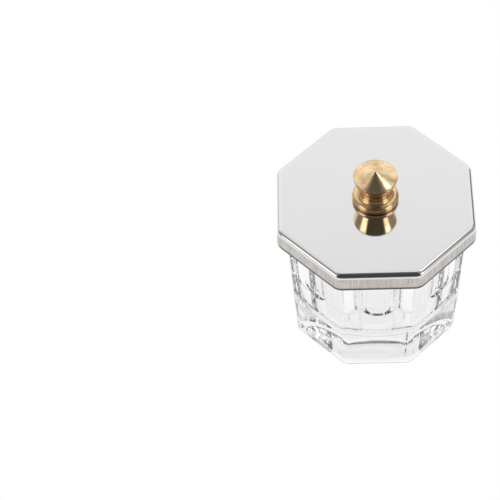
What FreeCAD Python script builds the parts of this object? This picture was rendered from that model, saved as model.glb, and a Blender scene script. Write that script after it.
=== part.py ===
"""Lidded dappen dish for nail work: octagonal pressed-glass cup, stamped steel lid and turned brass knob.

Millimetres. The origin is the centre of the cup's foot, on the table. +Z is up, and one flat side of the
octagon faces -Y. The lid assembly is modelled closed, resting on the rim of the cup.
"""

import FreeCAD
import Part
import math
import os

Vector = FreeCAD.Vector
UP = Vector(0, 0, 1)
ORIGIN = Vector(0, 0, 0)
SIDES = 8
CUTTER_REACH = 4.0  # how far a cutter stands into the open air
OVERCUT = 0.1  # how far a recess's cutter starts outside the surface
CLEARANCE = 1.0  # how far an open-ended cutter runs past the piece
TOLERANCE = 1e-4

# Glass cup, outside
CUP_HEIGHT = 50.0
FOOT_FLATS = 49.8  # across flats at the foot
RIM_FLATS = 55.0  # across flats at the rim
FOOT_CORNER = 4.0  # plan radius of the eight upright edges, at the foot
RIM_CORNER = 2.0
FOOT_ROUND = 0.35
RIM_ROUND = 0.7
PUNT_RADIUS = 20.0  # shallow hollow pressed into the underside
PUNT_DEPTH = 0.3
WINDOW_HALF_WIDTH = 4.3  # thumb-shaped window pressed into each outer face
WINDOW_DEPTH = 0.5
WINDOW_FOOT = 31.6  # height where the straight sides end and the round foot begins

# Glass cup, inside
WELL_FLOOR = 9.0
WELL_FLOOR_RADIUS = 20.2
WELL_RIM_RADIUS = 22.0
WELL_FILLET = 8.0
PANELS = 12
PANEL_HALF_WIDTH = 4.4
PANEL_DEPTH = 0.6  # of the flat behind the crowns of the ribs
PANEL_FOOT = 28.4  # height where the straight sides end and the round foot begins

# Stamped lid
SHEET = 0.8
LID_FLATS = 60.0
LID_CORNER = 4.0
LID_EDGE = 1.6  # outer radius of the bend between top and skirt
SKIRT_DROP = 6.0  # below the underside of the top
SKIRT_HEM = 0.4
SEAL_FLANGE = 0.7  # the seal's thickness between rim and lid
LID_UNDER = CUP_HEIGHT + SEAL_FLANGE
LID_TOP = LID_UNDER + SHEET
SCREW_HOLE_RADIUS = 2.2

# Silicone seal
SEAL_FLATS = 56.4
SEAL_CORNER = 1.2
PLUG_OUTER = 21.3
PLUG_INNER = 19.8
PLUG_DEPTH = 3.2
PLUG_CHAMFER = 0.3
PLUG_BEAD = 0.25  # how far the sealing bead stands out of the plug
BEAD_START = 0.6  # above the plug's lower edge
BEAD_HEIGHT = 1.2

# Turned knob: heights are above the lid
COLLAR_FOOT_RADIUS = 6.5
COLLAR_RADIUS = 7.1
COLLAR_HEIGHT = 2.5
COLLAR_SHOULDER_RADIUS = 6.3
COVE_SAG = 0.45  # offset of the cove's middle from the corner between collar and neck
NECK_RADIUS = 4.8
NECK_HEIGHT = 4.1
HEAD_RADIUS = 6.7
HEAD_HEIGHT = 10.2
HEAD_BAND = 0.5  # straight land under the edge of the head
POINT_HEIGHT = 12.5
TAP_DEPTH = 8.2
TAP_CONE = 1.0  # height of the drill's cone at the end of the hole
TAP_RADIUS = 2.05

# M4 fixing: washers and pan-head screw under the lid
WASHER_RADIUS = 4.5
WASHER_BORE = 2.2
WASHER_THICK = 0.8
LOCK_RADIUS = 3.7
LOCK_BORE = 2.15
LOCK_THICK = 0.95
LOCK_SLOT = 0.8
LOCK_SLANT = 25.0  # degrees
SCREW_RADIUS = 2.0
SCREW_ROOT = 1.62
SCREW_PITCH = 0.7
SCREW_LENGTH = 10.0
SCREW_HEAD_RADIUS = 3.8
SCREW_HEAD = 2.5
SCREW_HEAD_SIDE = 0.6  # straight part of the head's rim
CROWN_MID_RADIUS = 2.74  # a point halfway round the head's crown
CROWN_MID_DROP = 2.05
RECESS_SPAN = 4.4  # tip to tip of the cross recess
RECESS_WIDTH = 1.1
RECESS_DEPTH = 1.5


def octagon(across_flats, corner, z):
    """Closed wire of an octagon with rounded corners, one flat facing -Y."""
    apothem = across_flats / 2
    half_side = apothem * math.tan(math.pi / SIDES)
    trim = corner * math.tan(math.pi / SIDES)
    edges = []
    for side in range(SIDES):
        heading = math.radians(360 / SIDES * side - 90)
        outward = Vector(math.cos(heading), math.sin(heading), 0)
        along = Vector(-math.sin(heading), math.cos(heading), 0)
        base = outward * apothem + UP * z
        start = base - along * (half_side - trim)
        end = base + along * (half_side - trim)
        turn = heading + math.pi / SIDES
        centre = end - outward * corner
        middle = centre + Vector(math.cos(turn), math.sin(turn), 0) * corner
        turn += math.pi / SIDES
        finish = centre + Vector(math.cos(turn), math.sin(turn), 0) * corner
        edges += [Part.makeLine(start, end), Part.Arc(end, middle, finish).toShape()]
    return Part.Wire(edges)


def octagon_prism(across_flats, corner, z_low, z_high):
    face = Part.Face(octagon(across_flats, corner, z_low))
    return face.extrude(UP * (z_high - z_low))


def ring(outer, inner, z_low, z_high):
    tall = z_high - z_low
    base = UP * z_low
    return Part.makeCylinder(outer, tall, base).cut(Part.makeCylinder(inner, tall, base))


def turned(edges):
    """Solid of revolution about Z from profile edges in the XZ plane."""
    return Part.Face(Part.Wire(edges)).revolve(ORIGIN, UP, 360)


def polyline(points):
    spots = [Vector(r, 0, z) for r, z in points]
    return [Part.makeLine(a, b) for a, b in zip(spots, spots[1:])]


def edges_at(shape, z):
    """Edges that lie wholly in the plane at height z."""
    found = []
    for edge in shape.Edges:
        box = edge.BoundBox
        if abs(box.ZMin - z) < TOLERANCE and abs(box.ZMax - z) < TOLERANCE:
            found.append(edge)
    return found


def well():
    """The drafted round well with its filleted floor, closed just above the rim."""
    draft = math.atan2(WELL_RIM_RADIUS - WELL_FLOOR_RADIUS, CUP_HEIGHT - WELL_FLOOR)
    centre_r = WELL_FLOOR_RADIUS - WELL_FILLET
    centre_z = WELL_FLOOR + WELL_FILLET
    wall_r = centre_r + WELL_FILLET * math.cos(draft)
    wall_z = centre_z - WELL_FILLET * math.sin(draft)
    above = CUP_HEIGHT + CLEARANCE
    top_r = wall_r + (above - wall_z) * math.tan(draft)
    diagonal = (math.pi / 2 + draft) / 2
    middle_r = centre_r + WELL_FILLET * math.sin(diagonal)
    middle = Vector(middle_r, 0, centre_z - WELL_FILLET * math.cos(diagonal))
    floor_end = Vector(centre_r, 0, WELL_FLOOR)
    wall_start = Vector(wall_r, 0, wall_z)
    profile = [
        Part.makeLine(Vector(0, 0, WELL_FLOOR), floor_end),
        Part.Arc(floor_end, middle, wall_start).toShape(),
        Part.makeLine(wall_start, Vector(top_r, 0, above)),
        Part.makeLine(Vector(top_r, 0, above), Vector(0, 0, above)),
        Part.makeLine(Vector(0, 0, above), Vector(0, 0, WELL_FLOOR)),
    ]
    return turned(profile)


def thumb_block(half_width, foot, lean, near, far, angle):
    """Block with a round-footed outline, from y=near to y=far at its foot, leaning outwards."""
    above = CUP_HEIGHT + CUTTER_REACH - foot
    left = Vector(-half_width, near, 0)
    right = Vector(half_width, near, 0)
    outline = [
        Part.Arc(left, Vector(0, near, -half_width), right).toShape(),
        Part.makeLine(right, right + UP * above),
        Part.makeLine(right + UP * above, left + UP * above),
        Part.makeLine(left + UP * above, left),
    ]
    block = Part.Face(Part.Wire(outline)).extrude(Vector(0, far - near, 0))
    block.rotate(Vector(0, (near + far) / 2, 0), Vector(1, 0, 0), -lean)
    block.translate(UP * foot)
    block.rotate(ORIGIN, UP, angle)
    return block


def at_height(low, high, z_low, z):
    """Size at height z of something that grows evenly from z_low to the rim."""
    return low + (high - low) * (z - z_low) / (CUP_HEIGHT - z_low)


def inner_panels():
    lean = math.degrees(math.atan2(WELL_RIM_RADIUS - WELL_FLOOR_RADIUS, CUP_HEIGHT - WELL_FLOOR))
    far = at_height(WELL_FLOOR_RADIUS, WELL_RIM_RADIUS, WELL_FLOOR, PANEL_FOOT) + PANEL_DEPTH
    near = far - CUTTER_REACH
    turns = [360 / PANELS * index for index in range(PANELS)]
    return [thumb_block(PANEL_HALF_WIDTH, PANEL_FOOT, lean, near, far, turn) for turn in turns]


def outer_windows():
    lean = math.degrees(math.atan2(RIM_FLATS - FOOT_FLATS, 2 * CUP_HEIGHT))
    near = at_height(FOOT_FLATS, RIM_FLATS, 0, WINDOW_FOOT) / 2 - WINDOW_DEPTH
    far = near + CUTTER_REACH
    turns = [360 / SIDES * index for index in range(SIDES)]
    return [thumb_block(WINDOW_HALF_WIDTH, WINDOW_FOOT, lean, near, far, turn) for turn in turns]


def glass_cup():
    foot = octagon(FOOT_FLATS, FOOT_CORNER, 0)
    rim = octagon(RIM_FLATS, RIM_CORNER, CUP_HEIGHT)
    body = Part.makeLoft([foot, rim], True, True)
    body = body.makeFillet(FOOT_ROUND, edges_at(body, 0))
    body = body.makeFillet(RIM_ROUND, edges_at(body, CUP_HEIGHT))
    body = body.cut(well().fuse(inner_panels()))
    body = body.cut(outer_windows())
    dome_radius = (PUNT_RADIUS**2 + PUNT_DEPTH**2) / (2 * PUNT_DEPTH)
    punt = Part.makeSphere(dome_radius, UP * (PUNT_DEPTH - dome_radius))
    return body.cut(punt)


def lid_shell():
    skirt_foot = LID_UNDER - SKIRT_DROP
    outer = octagon_prism(LID_FLATS, LID_CORNER, skirt_foot, LID_TOP)
    outer = outer.makeFillet(LID_EDGE, edges_at(outer, LID_TOP))
    outer = outer.makeFillet(SKIRT_HEM, edges_at(outer, skirt_foot))
    inner_corner = LID_CORNER - SHEET
    inner = octagon_prism(LID_FLATS - 2 * SHEET, inner_corner, skirt_foot - CLEARANCE, LID_UNDER)
    inner = inner.makeFillet(LID_EDGE - SHEET, edges_at(inner, LID_UNDER))
    hole = Part.makeCylinder(SCREW_HOLE_RADIUS, 2 * SHEET, UP * (LID_UNDER - SHEET / 2))
    return outer.cut(inner).cut(hole)


def lid_knob():
    base = LID_TOP
    collar_mid = Vector(COLLAR_RADIUS, 0, base + COLLAR_HEIGHT / 2)
    foot = Vector(COLLAR_FOOT_RADIUS, 0, base)
    shoulder = Vector(COLLAR_SHOULDER_RADIUS, 0, base + COLLAR_HEIGHT)
    neck = Vector(NECK_RADIUS, 0, base + NECK_HEIGHT)
    cove_mid = Vector(NECK_RADIUS + COVE_SAG, 0, base + COLLAR_HEIGHT + COVE_SAG)
    head_under = Vector(HEAD_RADIUS, 0, base + HEAD_HEIGHT - HEAD_BAND)
    head_edge = Vector(HEAD_RADIUS, 0, base + HEAD_HEIGHT)
    point = Vector(0, 0, base + POINT_HEIGHT)
    tap_top = Vector(0, 0, base + TAP_DEPTH + TAP_CONE)
    tap_wall = Vector(TAP_RADIUS, 0, base + TAP_DEPTH)
    tap_mouth = Vector(TAP_RADIUS, 0, base)
    profile = [
        Part.Arc(foot, collar_mid, shoulder).toShape(),
        Part.Arc(shoulder, cove_mid, neck).toShape(),
        Part.makeLine(neck, head_under),
        Part.makeLine(head_under, head_edge),
        Part.makeLine(head_edge, point),
        Part.makeLine(point, tap_top),
        Part.makeLine(tap_top, tap_wall),
        Part.makeLine(tap_wall, tap_mouth),
        Part.makeLine(tap_mouth, foot),
    ]
    return turned(profile)


def flat_washer():
    return ring(WASHER_RADIUS, WASHER_BORE, LID_UNDER - WASHER_THICK, LID_UNDER)


def lock_washer():
    """Split spring washer, closed flat by the tightened screw."""
    top = LID_UNDER - WASHER_THICK
    washer = ring(LOCK_RADIUS, LOCK_BORE, top - LOCK_THICK, top)
    tall = 3 * LOCK_THICK
    slot = Part.makeBox(2 * LOCK_RADIUS, LOCK_SLOT, tall)
    slot.translate(Vector(0, -LOCK_SLOT / 2, -tall / 2))
    slot.rotate(ORIGIN, Vector(1, 0, 0), LOCK_SLANT)
    slot.translate(UP * (top - LOCK_THICK / 2))
    return washer.cut(slot)


def knob_screw():
    """Pan-head screw, head down, its thread drawn as rings one pitch apart."""
    seat = LID_UNDER - WASHER_THICK - LOCK_THICK
    tip = seat + SCREW_LENGTH
    crown = Vector(0, 0, seat - SCREW_HEAD)
    crown_mid = Vector(CROWN_MID_RADIUS, 0, seat - CROWN_MID_DROP)
    side = seat - SCREW_HEAD_SIDE
    head_side = Vector(SCREW_HEAD_RADIUS, 0, side)
    thread = [(SCREW_HEAD_RADIUS, side), (SCREW_HEAD_RADIUS, seat), (SCREW_RADIUS, seat)]
    z = seat + WASHER_THICK + LOCK_THICK + SHEET
    while z + SCREW_PITCH < tip:
        thread += [(SCREW_RADIUS, z), (SCREW_ROOT, z + SCREW_PITCH / 2)]
        z += SCREW_PITCH
    thread += [(SCREW_RADIUS, z), (SCREW_ROOT, tip), (0, tip)]
    profile = [Part.Arc(crown, crown_mid, head_side).toShape()] + polyline(thread)
    profile.append(Part.makeLine(Vector(0, 0, tip), crown))
    screw = turned(profile)
    low = crown.z - OVERCUT
    slot = Part.makeBox(RECESS_SPAN, RECESS_WIDTH, RECESS_DEPTH + OVERCUT)
    slot.translate(Vector(-RECESS_SPAN / 2, -RECESS_WIDTH / 2, low))
    crossed = slot.copy()
    crossed.rotate(ORIGIN, UP, 90)
    return screw.cut(slot.fuse(crossed))


def seal_ring():
    """Silicone seal: a flange under the lid and a beaded plug that enters the mouth of the cup."""
    flange = octagon_prism(SEAL_FLATS, SEAL_CORNER, CUP_HEIGHT, LID_UNDER)
    low = CUP_HEIGHT - PLUG_DEPTH
    bead_low = low + BEAD_START
    bead_high = bead_low + BEAD_HEIGHT
    side = Vector(PLUG_OUTER, 0, bead_low)
    side_top = Vector(PLUG_OUTER, 0, bead_high)
    crest = Vector(PLUG_OUTER + PLUG_BEAD, 0, (bead_low + bead_high) / 2)
    start = Vector(PLUG_OUTER - PLUG_CHAMFER, 0, low)
    inner_low = Vector(PLUG_INNER, 0, low)
    inner_top = Vector(PLUG_INNER, 0, LID_UNDER)
    outer_top = Vector(PLUG_OUTER, 0, LID_UNDER)
    plug = turned(
        [
            Part.makeLine(start, side),
            Part.Arc(side, crest, side_top).toShape(),
            Part.makeLine(side_top, outer_top),
            Part.makeLine(outer_top, inner_top),
            Part.makeLine(inner_top, inner_low),
            Part.makeLine(inner_low, start),
        ]
    )
    mouth = Part.makeCylinder(PLUG_INNER, 2 * SEAL_FLANGE, UP * (CUP_HEIGHT - SEAL_FLANGE / 2))
    return flange.cut(mouth).fuse(plug).removeSplitter()


NODES = {
    "glass_cup": glass_cup,
    "lid_shell": lid_shell,
    "lid_knob": lid_knob,
    "flat_washer": flat_washer,
    "lock_washer": lock_washer,
    "knob_screw": knob_screw,
    "seal_ring": seal_ring,
}

os.makedirs("parts", exist_ok=True)
for name, build in NODES.items():
    shape = build()
    print(name, "solids", len(shape.Solids), "valid", shape.isValid(), "volume mm3", round(shape.Volume, 1))
    shape.exportStep(f"parts/{name}.step")
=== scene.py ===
"""Looks for a lidded dappen dish: pressed-glass cup, stamped steel lid and turned brass knob.

Everything is in metres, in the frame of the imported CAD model. The cup, the lid shell and the knob are rebuilt
here as finer meshes of the same shape. The washers, the screw and the seal keep their CAD meshes.
"""

import math

import bpy
import numpy as np
from mathutils import Matrix, Vector


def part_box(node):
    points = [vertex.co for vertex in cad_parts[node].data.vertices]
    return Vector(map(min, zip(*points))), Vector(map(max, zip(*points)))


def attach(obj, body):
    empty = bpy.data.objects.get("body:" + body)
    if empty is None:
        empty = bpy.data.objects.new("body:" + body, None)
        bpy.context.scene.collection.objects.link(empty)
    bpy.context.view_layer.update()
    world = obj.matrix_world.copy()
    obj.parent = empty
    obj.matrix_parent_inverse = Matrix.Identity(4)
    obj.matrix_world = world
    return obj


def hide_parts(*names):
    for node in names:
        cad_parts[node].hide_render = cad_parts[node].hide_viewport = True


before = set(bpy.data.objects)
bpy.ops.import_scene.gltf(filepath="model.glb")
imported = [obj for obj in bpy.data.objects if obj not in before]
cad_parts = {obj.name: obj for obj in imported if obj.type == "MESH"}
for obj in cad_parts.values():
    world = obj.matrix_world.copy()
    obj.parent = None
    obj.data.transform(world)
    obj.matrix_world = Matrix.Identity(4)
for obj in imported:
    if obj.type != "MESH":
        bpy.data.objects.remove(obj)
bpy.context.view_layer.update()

SIDES = 8
SECTOR = 2 * math.pi / SIDES
FRONT = -math.pi / 2  # heading of the flat side that faces -Y

# Places, from the CAD model
CUP_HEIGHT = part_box("glass_cup")[1].z
LID_LOW, LID_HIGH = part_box("lid_shell")
KNOB_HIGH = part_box("lid_knob")[1]
LID_TOP = LID_HIGH.z
LID_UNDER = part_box("seal_ring")[1].z
LID_FLATS = LID_HIGH.y - LID_LOW.y

# Glass cup, outside
FOOT_FLATS = 0.0498
RIM_FLATS = 0.0550
FOOT_CORNER = 0.0040
RIM_CORNER = 0.0020
FOOT_ROUND = 0.00035
RIM_ROUND = 0.0007
PUNT_RADIUS = 0.0200
PUNT_DEPTH = 0.0003
WINDOW_HALF_WIDTH = 0.0043
WINDOW_DEPTH = 0.0005
WINDOW_FOOT = 0.0316
WINDOW_SOFTNESS = 0.0012  # width of the rounded edge around a window

# Glass cup, inside
WELL_FLOOR = 0.0090
WELL_FLOOR_RADIUS = 0.0202
WELL_RIM_RADIUS = 0.0220
WELL_FILLET = 0.0080
MOUTH_ROUND = 0.0003
PANELS = 12
PANEL_HALF_WIDTH = 0.0044
PANEL_DEPTH = 0.0006
PANEL_FOOT = 0.0284
PANEL_SOFTNESS = 0.0010

# Mesh of the cup: points on each flat and rounded corner, then rows of faces up the outside and down the well
FLAT_POINTS = 58
CORNER_POINTS = 14
AROUND = SIDES * (FLAT_POINTS + CORNER_POINTS)
PUNT_SHARES = np.linspace(0.05, 1.0, 14)  # rings under the foot, as shares of the punt's radius
FOOT_ROWS = 7
WALL_ROWS = 7
FINE_STEP = 0.00014  # height of a row of faces where a window or panel has its round foot
RIM_ROWS = 6
MOUTH_ROWS = 4
PANEL_ROWS = 8
FILLET_ROWS = 21
FLOOR_SHARES = (0.9, 0.75, 0.55, 0.3, 0.08)  # rings on the well's floor, as shares of its radius

# Lid shell
SHEET = LID_TOP - LID_UNDER
LID_CORNER = 0.0040
LID_EDGE = 0.0016
SKIRT_HEM = 0.0004
SCREW_HOLE_RADIUS = 0.0022
LID_FLAT_POINTS = 10
LID_CORNER_POINTS = 10
HEM_ROWS = 4
SKIRT_ROWS = 5
EDGE_ROWS = 16
INNER_EDGE_ROWS = 8
FACE_SHARES = (0.03, 0.12, 0.3, 0.5, 0.7, 0.85, 0.95)  # rings across the lid, from its edge to its screw hole
BRUSHED_TOP = LID_TOP - 0.85 * LID_EDGE  # the brushed skirt begins below this height
SKIRT_SHADE_HEIGHT = 0.0014  # height of the painted dark line of shade at the foot of the skirt

# Knob, with heights above the lid
COLLAR_FOOT_RADIUS = 0.0065
COLLAR_RADIUS = KNOB_HIGH.x
COLLAR_HEIGHT = 0.0025
COLLAR_SHOULDER_RADIUS = 0.0063
COVE_SAG = 0.00045
NECK_RADIUS = 0.0048
NECK_HEIGHT = 0.0041
HEAD_RADIUS = 0.0067
HEAD_HEIGHT = 0.0102
HEAD_BAND = 0.0005
HEAD_BREAK = 0.00012  # rounding of the head's two edges
POINT_HEIGHT = KNOB_HIGH.z - LID_TOP
TAP_RADIUS = 0.00205
TAP_DEPTH = 0.0082
TAP_CONE = 0.0010
KNOB_AROUND = 160
SHARP_ANGLE = math.radians(35)  # edges of the knob sharper than this stay crisp
FOOT_STEPS = 4
BEAD_STEPS = 18
COVE_STEPS = 14
NECK_STEPS = 10
BREAK_STEPS = 4
POINT_STEPS = 14

# Camera
CAMERA_ELEVATION = math.radians(51.28)
CAMERA_AZIMUTH = math.radians(3.34)
CAMERA_ROLL = math.radians(-4.04)
CAMERA_LENS = 146.6
CAMERA_SENSOR = 36.0
CAMERA_DISTANCE = 0.6352
CAMERA_NEAR = 0.01
CAMERA_FAR = 20.0
AIM_HEIGHT = 0.030
AIM_LEFT = 0.0390  # the dish stands right of the middle of the frame
AIM_DOWN = 0.0023

# Light: heading from the back (low, high), elevation (low, high), edge softness, in degrees, and strength
PANELS_OF_LIGHT = [
    (-44, 44, 8, 71, 5, 0.53),  # wall behind the dish
    (-44, 44, 8, 51, 4, 0.11),  # its lower part, a little brighter
    (-44, 44, 8, 34, 8, 0.12),  # its foot, brighter still
    (-62, -44, 8, 62, 4, 0.50),  # its left wing
    (44, 78, 34, 50, 4, 0.22),  # its right wing, in half shade
    (44, 78, 50, 62, 4, 0.60),  # lighter top of the right wing
    (-132, 132, -90, 76, 6, 0.26),  # pale room everywhere but behind the camera
    (-180, 180, -90, 8, 3, 0.25),  # light ground level
    (-134, -104, 12, 34, 4, 1.8),  # soft box on the left
    (106, 132, 12, 34, 4, 1.8),  # soft box on the right
    (-72, -52, 61, 70, 5, 0.6),  # narrow box above the left shoulder
    (54, 72, 60, 69, 2, 2.4),  # stronger one above the right shoulder
    (44, 60, -90, 26, 4, -0.20),  # black card low on the right
    (-180, 180, 78, 100, 7, 0.05),  # pale ceiling
]
ROOM_LIGHT = 0.06

# Floor
FLOOR_SIZE = 0.8
FLOOR_GAP = 0.0002  # below the foot, so that the two faces never coincide
SHADE_UNDER_CUP = 0.87  # the table is a little darker under the cup, as seen through the glass

# Glass
GLASS_IOR = 1.52
FOOT_SHADE_STRENGTH = 0.9  # how far the painted shade along the edge of the foot goes from clear towards dark grey

# Light paths: thick faceted glass sends light round inside many times before it leaves
GLASS_BOUNCES = 32
METAL_BOUNCES = 12


def ease(value):
    """Smooth step from 0 to 1."""
    value = np.clip(value, 0.0, 1.0)
    return value * value * (3 - 2 * value)


def quarter_turn(rows):
    """Angles from 0 to 90 degrees that split a rounded edge into that many rows."""
    return np.radians(np.linspace(0, 90, rows + 1))


def rounded_octagon(apothem, corner, flat_points, corner_points):
    """Points of an octagon with rounded corners, their outward normals and their places along the sides."""
    half_side = apothem * math.tan(SECTOR / 2)
    trim = corner * math.tan(SECTOR / 2)
    points, normals, along_side = [], [], []
    for side in range(SIDES):
        heading = FRONT + SECTOR * side
        outward = np.array((math.cos(heading), math.sin(heading)))
        along = np.array((-math.sin(heading), math.cos(heading)))
        for t in np.linspace(-1, 1, flat_points):
            offset = t * (half_side - trim)
            points.append(outward * apothem + along * offset)
            normals.append(outward)
            along_side.append(offset)
        centre = outward * (apothem - corner) + along * (half_side - trim)
        for step in range(1, corner_points + 1):
            turn = heading + SECTOR * step / (corner_points + 1)
            direction = np.array((math.cos(turn), math.sin(turn)))
            points.append(centre + direction * corner)
            normals.append(direction)
            along_side.append(half_side)
    return np.array(points), np.array(normals), np.array(along_side)


def at_height(points, z):
    return np.column_stack((points, np.full(len(points), z)))


def disc_ring(angles, radius, z):
    return np.column_stack((radius * np.cos(angles), radius * np.sin(angles), np.full(len(angles), z)))


def thumb_mask(across, z, half_width, foot, softness):
    """1 inside a thumb-shaped outline, 0 outside it, with a soft edge."""
    reach = np.abs(across) if z >= foot else np.hypot(across, foot - z)
    return ease((half_width - reach) / softness + 0.5)


def skin(name, rings, closed):
    """Mesh object from rings of points. It is closed on itself as a tube, or has a point at each end."""
    count = len(rings[0])
    vertices = np.concatenate(rings)
    here = np.arange(count)
    after = np.roll(here, -1)
    faces = []
    last = len(rings) if closed else len(rings) - 1
    for row in range(last):
        low = row * count
        high = (row + 1) % len(rings) * count
        faces += np.column_stack((low + here, low + after, high + after, high + here)).tolist()
    if not closed:
        first_centre = len(vertices)
        ends = [rings[0].mean(axis=0), rings[-1].mean(axis=0)]
        vertices = np.vstack((vertices, ends))
        top = (len(rings) - 1) * count
        faces += [(first_centre, int(b), int(a)) for a, b in zip(here, after)]
        faces += [(first_centre + 1, int(top + a), int(top + b)) for a, b in zip(here, after)]
    mesh = bpy.data.meshes.new(name)
    mesh.from_pydata(vertices.tolist(), [], faces)
    mesh.update()
    mesh.shade_smooth()
    piece = bpy.data.objects.new(name, mesh)
    bpy.context.scene.collection.objects.link(piece)
    return piece


def heights(low, high, step):
    """Evenly spaced heights, about one step apart."""
    return np.linspace(low, high, max(2, round((high - low) / step) + 1))


# ---------------------------------------------------------------- glass cup


def outer_wall(z, inset):
    """One ring of the cup's outer wall at height z, drawn in by inset on its rounded edges."""
    share = z / CUP_HEIGHT
    apothem = (FOOT_FLATS + (RIM_FLATS - FOOT_FLATS) * share) / 2 - inset
    corner = FOOT_CORNER + (RIM_CORNER - FOOT_CORNER) * share - inset
    points, normals, across = rounded_octagon(apothem, corner, FLAT_POINTS, CORNER_POINTS)
    depth = WINDOW_DEPTH * thumb_mask(across, z, WINDOW_HALF_WIDTH, WINDOW_FOOT, WINDOW_SOFTNESS)
    return at_height(points - normals * depth[:, None], z)


def well_radius(z):
    draft = (WELL_RIM_RADIUS - WELL_FLOOR_RADIUS) * (z - WELL_FLOOR) / (CUP_HEIGHT - WELL_FLOOR)
    return WELL_FLOOR_RADIUS + draft


def inner_wall(z, inset):
    """One ring of the well at height z, drawn in by inset, with its flat panels."""
    angles = FRONT + np.arange(AROUND) / AROUND * 2 * math.pi
    step = 2 * math.pi / PANELS
    from_panel = (angles - FRONT + step / 2) % step - step / 2
    base = well_radius(z) - inset
    flat = (base + PANEL_DEPTH) / np.cos(from_panel)
    mask = thumb_mask(base * np.sin(from_panel), z, PANEL_HALF_WIDTH, PANEL_FOOT, PANEL_SOFTNESS)
    radius = base + np.maximum(flat - base, 0) * mask
    return np.column_stack((radius * np.cos(angles), radius * np.sin(angles), np.full(AROUND, z)))


def cup_underside():
    """Rings from the middle of the shallow punt out to the land that the cup stands on."""
    dome = (PUNT_RADIUS**2 + PUNT_DEPTH**2) / (2 * PUNT_DEPTH)
    land = FOOT_FLATS / 2 - FOOT_ROUND
    points, _, _ = rounded_octagon(land, FOOT_CORNER - FOOT_ROUND, FLAT_POINTS, CORNER_POINTS)
    angles = np.arctan2(points[:, 1], points[:, 0])
    rings = []
    for share in PUNT_SHARES:
        radius = PUNT_RADIUS * share
        rings.append(disc_ring(angles, radius, math.sqrt(dome**2 - radius**2) - (dome - PUNT_DEPTH)))
    return rings


def cup_outside():
    rings = []
    for a in quarter_turn(FOOT_ROWS):
        rings.append(outer_wall(FOOT_ROUND * (1 - math.cos(a)), FOOT_ROUND * (1 - math.sin(a))))
    window_low = WINDOW_FOOT - WINDOW_HALF_WIDTH - WINDOW_SOFTNESS
    levels = np.concatenate(
        (
            np.linspace(FOOT_ROUND, window_low, WALL_ROWS + 1)[1:],
            heights(window_low, WINDOW_FOOT, FINE_STEP)[1:],
            np.linspace(WINDOW_FOOT, CUP_HEIGHT - RIM_ROUND, WALL_ROWS + 1)[1:],
        )
    )
    rings += [outer_wall(z, 0.0) for z in levels]
    for a in quarter_turn(RIM_ROWS)[1:]:
        rings.append(outer_wall(CUP_HEIGHT - RIM_ROUND * (1 - math.sin(a)), RIM_ROUND * (1 - math.cos(a))))
    return rings


def cup_inside():
    rings = []
    for a in quarter_turn(MOUTH_ROWS):
        drop = MOUTH_ROUND * (1 - math.cos(a))
        rings.append(inner_wall(CUP_HEIGHT - drop, -MOUTH_ROUND * (1 - math.sin(a))))
    panel_low = PANEL_FOOT - PANEL_HALF_WIDTH - PANEL_SOFTNESS
    fillet_top = WELL_FLOOR + WELL_FILLET
    levels = np.concatenate(
        (
            np.linspace(CUP_HEIGHT - MOUTH_ROUND, PANEL_FOOT, PANEL_ROWS + 1)[1:],
            heights(panel_low, PANEL_FOOT, FINE_STEP)[::-1][1:],
            np.linspace(panel_low, fillet_top, WALL_ROWS + 1)[1:],
        )
    )
    rings += [inner_wall(z, 0.0) for z in levels]
    for a in quarter_turn(FILLET_ROWS)[1:]:
        rings.append(inner_wall(fillet_top - WELL_FILLET * math.sin(a), WELL_FILLET * (1 - math.cos(a))))
    edge = rings[-1]
    return rings + [edge * (share, share, 1) for share in FLOOR_SHARES]


def glass_cup():
    return skin("glass_cup_visual", cup_underside() + cup_outside() + cup_inside(), closed=False)


# ---------------------------------------------------------------- lid shell


def lid_ring(z, inset):
    """One ring of the lid, inset from its outer skirt."""
    points, _, _ = rounded_octagon(
        LID_FLATS / 2 - inset, max(LID_CORNER - inset, SKIRT_HEM), LID_FLAT_POINTS, LID_CORNER_POINTS
    )
    return at_height(points, z)


def lid_face(edge, radius, z):
    """Rings from an octagonal edge inwards to a round hole of that radius, at height z."""
    angles = np.arctan2(edge[:, 1], edge[:, 0])
    hole = disc_ring(angles, radius, z)
    return [edge + (hole - edge) * share for share in FACE_SHARES] + [hole]


def lid_shell():
    skirt_foot = LID_LOW.z
    rings = []
    outer_hem = skirt_foot + SKIRT_HEM
    for a in quarter_turn(HEM_ROWS):
        rings.append(lid_ring(outer_hem - SKIRT_HEM * math.cos(a), SKIRT_HEM * (1 - math.sin(a))))
    rings += [lid_ring(z, 0.0) for z in np.linspace(outer_hem, LID_TOP - LID_EDGE, SKIRT_ROWS + 1)[1:]]
    for a in quarter_turn(EDGE_ROWS)[1:]:
        rings.append(lid_ring(LID_TOP - LID_EDGE * (1 - math.sin(a)), LID_EDGE * (1 - math.cos(a))))
    rings += lid_face(rings[-1], SCREW_HOLE_RADIUS, LID_TOP)
    inner_edge = LID_EDGE - SHEET
    inside = [lid_ring(z, SHEET) for z in np.linspace(skirt_foot, LID_UNDER - inner_edge, SKIRT_ROWS + 1)]
    for a in quarter_turn(INNER_EDGE_ROWS)[1:]:
        drop = inner_edge * (1 - math.sin(a))
        inside.append(lid_ring(LID_UNDER - drop, SHEET + inner_edge * (1 - math.cos(a))))
    inside += lid_face(inside[-1], SCREW_HOLE_RADIUS, LID_UNDER)
    rings += inside[::-1]
    return skin("lid_shell_visual", rings, closed=True)


# ---------------------------------------------------------------- knob


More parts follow.
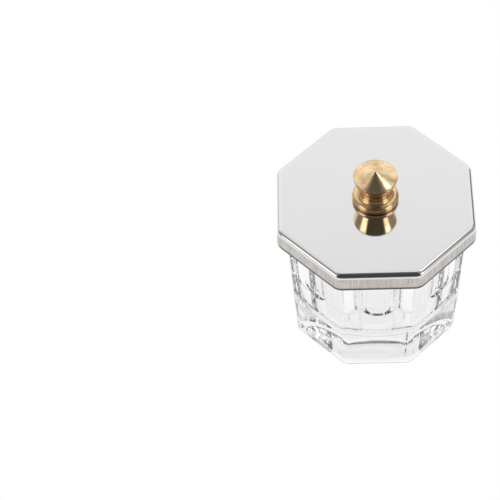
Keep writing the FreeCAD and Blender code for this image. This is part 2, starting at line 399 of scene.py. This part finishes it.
def three_point_arc(start, middle, end, steps):
    """(r, z) points on the arc through three points."""
    (ax, ay), (bx, by), (cx, cy) = start, middle, end
    double_area = 2 * (ax * (by - cy) + bx * (cy - ay) + cx * (ay - by))
    a2, b2, c2 = ax * ax + ay * ay, bx * bx + by * by, cx * cx + cy * cy
    centre_r = (a2 * (by - cy) + b2 * (cy - ay) + c2 * (ay - by)) / double_area
    centre_z = (a2 * (cx - bx) + b2 * (ax - cx) + c2 * (bx - ax)) / double_area
    radius = math.hypot(ax - centre_r, ay - centre_z)
    angles = [math.atan2(z - centre_z, r - centre_r) for r, z in (start, middle, end)]
    angles = np.unwrap(angles)
    path = np.linspace(angles[0], angles[2], steps + 1)
    return [(centre_r + radius * math.cos(a), centre_z + radius * math.sin(a)) for a in path]


def broken_corner(before, corner, after, size):
    """A small curve in place of a sharp corner of a profile."""
    corner = np.array(corner)
    start = corner + (np.array(before) - corner) / np.linalg.norm(np.array(before) - corner) * size
    end = corner + (np.array(after) - corner) / np.linalg.norm(np.array(after) - corner) * size
    curve = []
    for t in np.linspace(0, 1, BREAK_STEPS + 1):
        curve.append(tuple(start * (1 - t) ** 2 + corner * 2 * t * (1 - t) + end * t**2))
    return curve


def run(start, end, steps):
    """Points along a straight stretch of a profile, without its ends."""
    return [tuple(p) for p in np.linspace(start, end, steps + 1)[1:-1]]


def knob_profile():
    """(r, height above the lid) from the mouth of the tapped hole, round the outside and up to the point."""
    foot = (COLLAR_FOOT_RADIUS, 0.0)
    shoulder = (COLLAR_SHOULDER_RADIUS, COLLAR_HEIGHT)
    neck = (NECK_RADIUS, NECK_HEIGHT)
    cove = (NECK_RADIUS + COVE_SAG, COLLAR_HEIGHT + COVE_SAG)
    under = (HEAD_RADIUS, HEAD_HEIGHT - HEAD_BAND)
    edge = (HEAD_RADIUS, HEAD_HEIGHT)
    point = (0.0, POINT_HEIGHT)
    profile = [(TAP_RADIUS, TAP_DEPTH), (TAP_RADIUS, 0.0)]
    profile += run((TAP_RADIUS, 0.0), foot, FOOT_STEPS)
    profile += three_point_arc(foot, (COLLAR_RADIUS, COLLAR_HEIGHT / 2), shoulder, BEAD_STEPS)
    profile += three_point_arc(shoulder, cove, neck, COVE_STEPS)[1:]
    profile += run(neck, under, NECK_STEPS)
    profile += broken_corner(neck, under, edge, HEAD_BREAK)
    profile += broken_corner(under, edge, point, HEAD_BREAK)
    profile += run(edge, point, POINT_STEPS)
    profile += [(HEAD_BREAK / 4, POINT_HEIGHT - HEAD_BREAK / 8)]  # last ring, just under the tip
    return profile


def lid_knob():
    angles = np.arange(KNOB_AROUND) / KNOB_AROUND * 2 * math.pi
    rings = [disc_ring(angles, r, LID_TOP + z) for r, z in knob_profile()]
    rings.insert(0, disc_ring(angles, HEAD_BREAK, LID_TOP + TAP_DEPTH + TAP_CONE))  # end of the drilled hole
    piece = skin("lid_knob_visual", rings, closed=False)
    piece.data.set_sharp_from_angle(angle=SHARP_ANGLE)
    return piece


# ---------------------------------------------------------------- materials


class Tree:
    """Short forms for building the nodes of a material or of the world."""

    def __init__(self, owner):
        owner.use_nodes = True
        self.owner = owner
        self.nodes = owner.node_tree.nodes
        self.links = owner.node_tree.links

    def node(self, kind, inputs=(), **settings):
        made = self.nodes.new(kind)
        for key, value in settings.items():
            setattr(made, key, value)
        for key, value in dict(inputs).items():
            self.set(made, key, value)
        return made

    def set(self, node, key, value):
        """Link a socket, or set a plain value on it."""
        if isinstance(value, bpy.types.NodeSocket):
            self.links.new(value, node.inputs[key])
        else:
            node.inputs[key].default_value = value

    def spot(self):
        """Object coordinates, which stay with the piece when it moves."""
        return self.node("ShaderNodeTexCoord").outputs["Object"]

    def split(self, vector):
        """The x, y and z of a vector."""
        return self.node("ShaderNodeSeparateXYZ", {"Vector": vector}).outputs

    def length(self, vector):
        return self.node("ShaderNodeVectorMath", {0: vector}, operation="LENGTH").outputs["Value"]

    def noise(self, scale, detail=3.0, stretch=(1, 1, 1), roughness=0.5):
        """Noise with scale cells to the metre, more of them along an axis that stretch says more for."""
        place = self.node("ShaderNodeMapping", {"Vector": self.spot(), "Scale": stretch}).outputs["Vector"]
        inputs = {"Vector": place, "Scale": scale, "Detail": detail, "Roughness": roughness}
        return self.node("ShaderNodeTexNoise", inputs).outputs["Fac"]

    def span(self, value, from_low, from_high, to_low, to_high, **settings):
        """Take a value from one range to another and hold it at the ends."""
        inputs = {
            "Value": value,
            "From Min": from_low,
            "From Max": from_high,
            "To Min": to_low,
            "To Max": to_high,
        }
        return self.node("ShaderNodeMapRange", inputs, **settings).outputs["Result"]

    def soft_span(self, value, from_low, from_high, to_low, to_high):
        """The same, with eased ends."""
        return self.span(value, from_low, from_high, to_low, to_high, interpolation_type="SMOOTHSTEP")

    def math(self, operation, first, second=0.0):
        made = self.node("ShaderNodeMath", operation=operation)
        self.set(made, 0, first)
        self.set(made, 1, second)
        return made.outputs[0]

    def product(self, first, *others):
        for other in others:
            first = self.math("MULTIPLY", first, other)
        return first

    def blend(self, share, first, second):
        """Colour that goes from first to second as share goes from 0 to 1."""
        made = self.node("ShaderNodeMix", data_type="RGBA")
        self.set(made, 0, share)
        self.set(made, 6, first)
        self.set(made, 7, second)
        return made.outputs[2]

    def bump(self, height, distance, under=None):
        """Normal of a surface raised by height times distance, on top of another bump if there is one."""
        inputs = {"Height": height, "Distance": distance, "Strength": 1.0}
        if under is not None:
            inputs["Normal"] = under
        return self.node("ShaderNodeBump", inputs).outputs["Normal"]


class Look(Tree):
    """Nodes of a new material."""

    def __init__(self, name):
        super().__init__(bpy.data.materials.new(name))
        self.shader = self.nodes["Principled BSDF"]
        self.output = self.nodes["Material Output"]

    def shade(self, **inputs):
        for key, value in inputs.items():
            self.set(self.shader, key.replace("_", " "), value)
        return self.owner

    def surface(self, node):
        """Use this node's shader in place of the usual one."""
        self.nodes.remove(self.shader)
        self.links.new(node.outputs[0], self.output.inputs["Surface"])
        return self.owner


def colour(red, green, blue):
    return (red, green, blue, 1.0)


WHITE = colour(1, 1, 1)
GLASS_TINT = colour(0.90, 0.96, 0.94)
# painted shade: the grey that the glass turns along the rounded edge of the foot
FOOT_SHADE_GREY = colour(0.2, 0.2, 0.2)
TOP_STEEL = colour(0.82, 0.82, 0.82), colour(0.84, 0.84, 0.84)
SKIRT_STEEL = colour(0.42, 0.39, 0.36), colour(0.66, 0.63, 0.60)
RUBBED_STEEL = colour(0.74, 0.72, 0.69)
# painted shade: dark, dull colour of the line along the foot of the skirt
SKIRT_FOOT_SHADE_COLOUR = colour(0.05, 0.04, 0.035)
BRASS = colour(0.90, 0.70, 0.45), colour(0.70, 0.46, 0.24)
COLLAR_BRASS = colour(0.92, 0.58, 0.30)
BRASS_FLECK = colour(0.42, 0.22, 0.13)
# painted shade: near-black brass in the undercut at the foot of the collar
BRASS_CREVICE_SHADE = colour(0.10, 0.05, 0.03)
ZINC = colour(0.56, 0.58, 0.62), colour(0.72, 0.72, 0.73)
SILICONE = colour(0.80, 0.80, 0.77), colour(0.90, 0.90, 0.88)
MOST_NOISE = (0.3, 0.7)  # nearly all of a noise's values lie in this range

# Heights between which one look turns into the next, above the lid or above the top of the brushing
COLLAR_TINT = (0.0050, 0.0035)
# painted shade: the brass darkens just above the lid, in the collar's undercut
CREVICE_SHADE_HEIGHTS = (0.0007, 0.0002)
BRUSHING = (0.0002, -0.0003)

# Depths of relief
GLASS_WAVE = 0.00002
GLASS_CHILL = 0.0000012
SKIRT_MARKS = 0.000022
TOP_HAIRS = 0.0000006
TOOL_MARKS = 0.000004
BRASS_DENTS = 0.00003
ZINC_GRAIN = 0.000006
SILICONE_GRAIN = 0.00001


def clear_glass():
    """Fire-polished pressed glass: faintly tinted, slightly wavy, with painted grey shade round the edge of the
    foot.
    """
    tree = Look("clear_glass_look")
    normal = tree.bump(tree.noise(170.0, detail=1.0), GLASS_WAVE)
    normal = tree.bump(tree.noise(900.0, detail=2.0), GLASS_CHILL, under=normal)
    spot = tree.spot()
    height = tree.split(spot)["Z"]
    # painted shade: the glass darkens along the rounded edge of the foot, outside the punt
    below_wall = tree.span(height, 1.5 * FOOT_ROUND, FOOT_ROUND, 0.0, FOOT_SHADE_STRENGTH)
    above_land = tree.span(height, 0.05 * FOOT_ROUND, 0.2 * FOOT_ROUND, 0.0, 1.0)
    outside_punt = tree.span(tree.length(spot), 1.02 * PUNT_RADIUS, 1.1 * PUNT_RADIUS, 0.0, 1.0)
    painted_foot_shade = tree.product(below_wall, above_land, outside_punt)
    clear = tree.blend(painted_foot_shade, WHITE, FOOT_SHADE_GREY)
    glass = {"Color": clear, "IOR": GLASS_IOR, "Roughness": 0.0, "Normal": normal}
    tint = tree.node("ShaderNodeVolumeAbsorption", {"Color": GLASS_TINT, "Density": 2.0})
    tree.links.new(tint.outputs[0], tree.output.inputs["Volume"])
    return tree.surface(tree.node("ShaderNodeBsdfGlass", glass))


def lid_steel():
    """Mirror-polished top that turns into a skirt with fine drawing marks across it, and a painted dark line of
    shade along the skirt's foot.
    """
    tree = Look("lid_steel_look")
    height = tree.split(tree.spot())["Z"]
    skirt = tree.span(height, BRUSHED_TOP + BRUSHING[0], BRUSHED_TOP + BRUSHING[1], 0.0, 1.0)
    # painted shade: the lowest part of the skirt turns dark and stops being metal
    skirt_foot_shade = tree.span(height, LID_LOW.z + SKIRT_SHADE_HEIGHT, LID_LOW.z + 0.5 * SKIRT_SHADE_HEIGHT, 0.0, 1.0)
    marks = tree.noise(1.0, detail=6.0, stretch=(2600, 2600, 110), roughness=0.65)
    cloud = tree.noise(70.0)
    rub = tree.noise(260.0, detail=5.0)
    hairs = tree.noise(1.0, detail=4.0, stretch=(220, 5200, 220), roughness=0.6)
    polished = tree.span(cloud, *MOST_NOISE, 0.045, 0.075)
    brushed = tree.span(marks, *MOST_NOISE, 0.24, 0.42)
    roughness = tree.math("ADD", tree.product(skirt, brushed), polished)
    side = tree.blend(tree.span(marks, 0.36, 0.64, 0.0, 1.0), *SKIRT_STEEL)
    side = tree.blend(tree.span(rub, 0.5, 0.75, 0.0, 0.6), side, RUBBED_STEEL)
    base = tree.blend(skirt, tree.blend(cloud, *TOP_STEEL), side)
    base = tree.blend(skirt_foot_shade, base, SKIRT_FOOT_SHADE_COLOUR)
    normal = tree.bump(tree.product(marks, skirt), SKIRT_MARKS)
    normal = tree.bump(hairs, TOP_HAIRS, under=normal)
    metal = tree.math("SUBTRACT", 1.0, skirt_foot_shade)
    return tree.shade(Base_Color=base, Metallic=metal, Roughness=roughness, Normal=normal)


def knob_brass():
    """Turned brass, stained and flecked, with tool marks round its axis and a redder, duller collar."""
    tree = Look("knob_brass_look")
    x, y, z = tree.split(tree.spot())
    radius = tree.math("SQRT", tree.math("ADD", tree.product(x, x), tree.product(y, y)))
    path = tree.math("ADD", z, tree.product(radius, 1.7))  # changes along the profile, whichever way it runs
    tool = tree.node("ShaderNodeTexNoise", {"W": path, "Scale": 5200.0, "Detail": 3.0}, noise_dimensions="1D")
    stain = tree.noise(330.0, detail=4.0)
    collar = tree.span(z, LID_TOP + COLLAR_TINT[0], LID_TOP + COLLAR_TINT[1], 0.0, 1.0)
    fleck = tree.span(tree.noise(1100.0), 0.58, 0.70, 0.0, 0.45)
    # painted shade: the brass darkens in the undercut at the foot of the collar
    crevice_shade = tree.span(z, LID_TOP + CREVICE_SHADE_HEIGHTS[0], LID_TOP + CREVICE_SHADE_HEIGHTS[1], 0.0, 0.9)
    base = tree.blend(tree.span(stain, 0.35, 0.7, 0.0, 1.0), *BRASS)
    base = tree.blend(tree.product(collar, 0.7), base, COLLAR_BRASS)
    base = tree.blend(fleck, base, BRASS_FLECK)
    base = tree.blend(crevice_shade, base, BRASS_CREVICE_SHADE)
    polished = tree.span(stain, *MOST_NOISE, 0.06, 0.20)
    roughness = tree.math("ADD", polished, tree.product(collar, 0.10))
    normal = tree.bump(tool.outputs["Fac"], TOOL_MARKS)
    normal = tree.bump(stain, BRASS_DENTS, under=normal)
    return tree.shade(Base_Color=base, Metallic=1.0, Roughness=roughness, Normal=normal)


def fixing_steel():
    """Bright zinc plating, slightly grained and duller in places."""
    tree = Look("fixing_steel_look")
    grain = tree.noise(2600.0, detail=5.0)
    cloud = tree.noise(420.0)
    base = tree.blend(cloud, *ZINC)
    roughness = tree.span(cloud, *MOST_NOISE, 0.2, 0.38)
    return tree.shade(Base_Color=base, Metallic=1.0, Roughness=roughness, Normal=tree.bump(grain, ZINC_GRAIN))


def seal_silicone():
    """Milky silicone with a fine matt moulding texture."""
    tree = Look("seal_silicone_look")
    grain = tree.noise(3000.0, detail=4.0)
    base = tree.blend(tree.noise(160.0), *SILICONE)
    roughness = tree.span(grain, *MOST_NOISE, 0.42, 0.6)
    tree.shade(Subsurface_Weight=0.35, Subsurface_Radius=(1.0, 1.0, 0.9), Subsurface_Scale=0.001)
    return tree.shade(Base_Color=base, Roughness=roughness, Normal=tree.bump(grain, SILICONE_GRAIN))


# ---------------------------------------------------------------- surroundings


def white_floor():
    """Evenly glowing white table: plain white to the camera, a little darker under the cup to other rays."""
    half = FLOOR_SIZE / 2
    corners = [(x, y, -FLOOR_GAP) for x, y in ((-half, -half), (half, -half), (half, half), (-half, half))]
    mesh = bpy.data.meshes.new("floor")
    mesh.from_pydata(corners, [], [(0, 1, 2, 3)])
    floor = bpy.data.objects.new("floor", mesh)
    bpy.context.scene.collection.objects.link(floor)
    tree = Look("floor_look")
    from_cup = tree.length(tree.spot())
    shaded = tree.soft_span(from_cup, 0.4 * FOOT_FLATS, 1.2 * FOOT_FLATS, SHADE_UNDER_CUP, 1.0)
    seen = tree.node("ShaderNodeLightPath").outputs["Is Camera Ray"]
    glow = tree.node("ShaderNodeEmission", {"Color": WHITE, "Strength": tree.math("MAXIMUM", shaded, seen)})
    mesh.materials.append(tree.surface(glow))


def panel_of_light(tree, heading, elevation, panel):
    """Strength of one soft-edged panel of light in every direction."""
    low, high, foot, top, edge = (math.radians(angle) for angle in panel[:-1])
    return tree.product(
        tree.soft_span(heading, low - edge, low + edge, 0.0, 1.0),
        tree.soft_span(heading, high - edge, high + edge, 1.0, 0.0),
        tree.soft_span(elevation, foot - edge, foot + edge, 0.0, 1.0),
        tree.soft_span(elevation, top - edge, top + edge, 1.0, 0.0),
        panel[-1],
    )


def studio_world():
    """A pale studio of soft-edged panels of light, round a dish that the camera sees on plain white."""
    world = bpy.data.worlds.new("studio")
    bpy.context.scene.world = world
    tree = Tree(world)
    tree.nodes.clear()
    x, y, z = tree.split(tree.node("ShaderNodeTexCoord").outputs["Generated"])
    heading = tree.math("ARCTAN2", x, y)
    elevation = tree.math("ARCSINE", z)
    light = ROOM_LIGHT
    for panel in PANELS_OF_LIGHT:
        light = tree.math("ADD", light, panel_of_light(tree, heading, elevation, panel))
    sky = tree.node("ShaderNodeBackground", {"Color": WHITE, "Strength": light})
    plain = tree.node("ShaderNodeBackground", {"Color": WHITE, "Strength": 1.0})
    seen = tree.node("ShaderNodeLightPath").outputs["Is Camera Ray"]
    mix = tree.node("ShaderNodeMixShader", {0: seen, 1: sky.outputs[0], 2: plain.outputs[0]})
    tree.node("ShaderNodeOutputWorld", {"Surface": mix.outputs[0]})


def camera():
    """Camera above the front of the dish, tilted a little, with the dish right of the middle."""
    cos_up, sin_up = math.cos(CAMERA_ELEVATION), math.sin(CAMERA_ELEVATION)
    back = Vector((math.sin(CAMERA_AZIMUTH) * cos_up, -math.cos(CAMERA_AZIMUTH) * cos_up, sin_up))
    level_right = Vector((math.cos(CAMERA_AZIMUTH), math.sin(CAMERA_AZIMUTH), 0))
    level_up = back.cross(level_right)
    right = level_right * math.cos(CAMERA_ROLL) + level_up * math.sin(CAMERA_ROLL)
    up = level_up * math.cos(CAMERA_ROLL) - level_right * math.sin(CAMERA_ROLL)
    aim = Vector((0, 0, AIM_HEIGHT)) - right * AIM_LEFT - up * AIM_DOWN
    facing = Matrix((right, up, back)).transposed().to_4x4()
    data = bpy.data.cameras.new("camera")
    data.lens = CAMERA_LENS
    data.sensor_width = CAMERA_SENSOR
    data.clip_start = CAMERA_NEAR
    data.clip_end = CAMERA_FAR
    made = bpy.data.objects.new("camera", data)
    made.matrix_world = Matrix.Translation(aim + back * CAMERA_DISTANCE) @ facing
    bpy.context.scene.collection.objects.link(made)
    bpy.context.scene.camera = made


def stand_in(piece, node, body, material):
    """Put a finished piece in the place of a CAD node."""
    piece.data.materials.append(material)
    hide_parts(node)
    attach(piece, body)


def repaint(node, material):
    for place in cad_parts[node].material_slots:
        place.material = material


steel = fixing_steel()
stand_in(glass_cup(), "glass_cup", "cup", clear_glass())
stand_in(lid_shell(), "lid_shell", "lid", lid_steel())
stand_in(lid_knob(), "lid_knob", "lid", knob_brass())
for fixing in ("flat_washer", "lock_washer", "knob_screw"):
    repaint(fixing, steel)
repaint("seal_ring", seal_silicone())

white_floor()
studio_world()
camera()
bpy.context.scene.view_settings.view_transform = "Standard"
light_paths = bpy.context.scene.cycles
light_paths.max_bounces = light_paths.transmission_bounces = GLASS_BOUNCES
light_paths.glossy_bounces = METAL_BOUNCES
